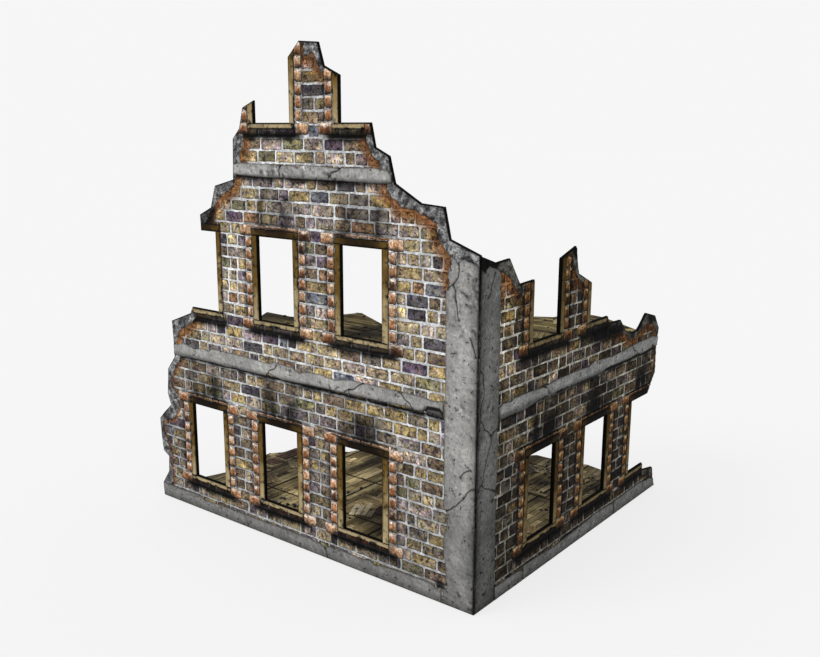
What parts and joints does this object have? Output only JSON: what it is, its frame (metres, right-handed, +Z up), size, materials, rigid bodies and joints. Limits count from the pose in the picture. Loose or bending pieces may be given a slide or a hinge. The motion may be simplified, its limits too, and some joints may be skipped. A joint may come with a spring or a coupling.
{
  "type": "ruined building corner",
  "caption": "Ruined brick building corner for tabletop games, with broken walls, open windows and floors for figures.",
  "frame": {"origin": "centre of the footprint's bounding box, on the surface the ruin stands on", "axes": "+Z up, +X along the front wall towards the building's outer corner, +Y from the front wall back along the side wall"},
  "size_m": [0.1282, 0.1208, 0.145],
  "materials": {
    "core_board": "matt, black-stained cut edges",
    "brick_print": "matt, embossed and printed weathered brick",
    "rubble": "matt, rough torn masonry",
    "concrete": "matt, cracked and stained concrete",
    "plaster_print": "matt, stained plaster with bare brick patches",
    "window_timber": "matt, worn khaki timber",
    "terracotta_brick": "matt, terracotta brick with pale worn faces",
    "floor_print": "matt, worn floorboards scored with a one-inch grid",
    "batten_wood": "matt, plain sawn timber"
  },
  "bodies": {
    "root": {"front_core": "core_board", "side_core": "core_board", "ground_floor_board": "core_board", "upper_floor_board": "core_board", "front_brick_facing": "brick_print", "side_brick_facing": "brick_print", "front_broken_edge": "rubble", "side_broken_edge": "rubble", "front_pilaster": "concrete", "side_pilaster": "concrete", "front_plinth": "concrete", "side_plinth": "concrete", "front_storey_band": "concrete", "side_storey_band": "concrete", "front_upper_band": "concrete", "front_lining": "plaster_print", "side_lining": "plaster_print", "front_inner_frames": "window_timber", "side_inner_frames": "window_timber", "front_ground_frame_1": "window_timber", "front_ground_frame_2": "window_timber", "front_ground_frame_3": "window_timber", "front_first_frame_1": "window_timber", "front_first_frame_2": "window_timber", "front_first_frame_3": "window_timber", "front_top_frame_1": "window_timber", "front_top_frame_2": "window_timber", "side_ground_frame_1": "window_timber", "side_ground_frame_2": "window_timber", "side_ground_frame_3": "window_timber", "side_first_frame_1": "window_timber", "side_first_frame_2": "window_timber", "front_ground_surround_1": "terracotta_brick", "front_ground_surround_2": "terracotta_brick", "front_ground_surround_3": "terracotta_brick", "front_first_surround_1": "terracotta_brick", "front_first_surround_2": "terracotta_brick", "front_top_surround_1": "terracotta_brick", "front_top_surround_2": "terracotta_brick", "side_ground_surround_1": "terracotta_brick", "side_ground_surround_2": "terracotta_brick", "side_ground_surround_3": "terracotta_brick", "side_first_surround_1": "terracotta_brick", "side_first_surround_2": "terracotta_brick", "ground_planking": "floor_print", "upper_planking": "floor_print", "front_ledge": "batten_wood", "side_ledge": "batten_wood", "corner_post": "batten_wood"}
  },
  "joints": []
}
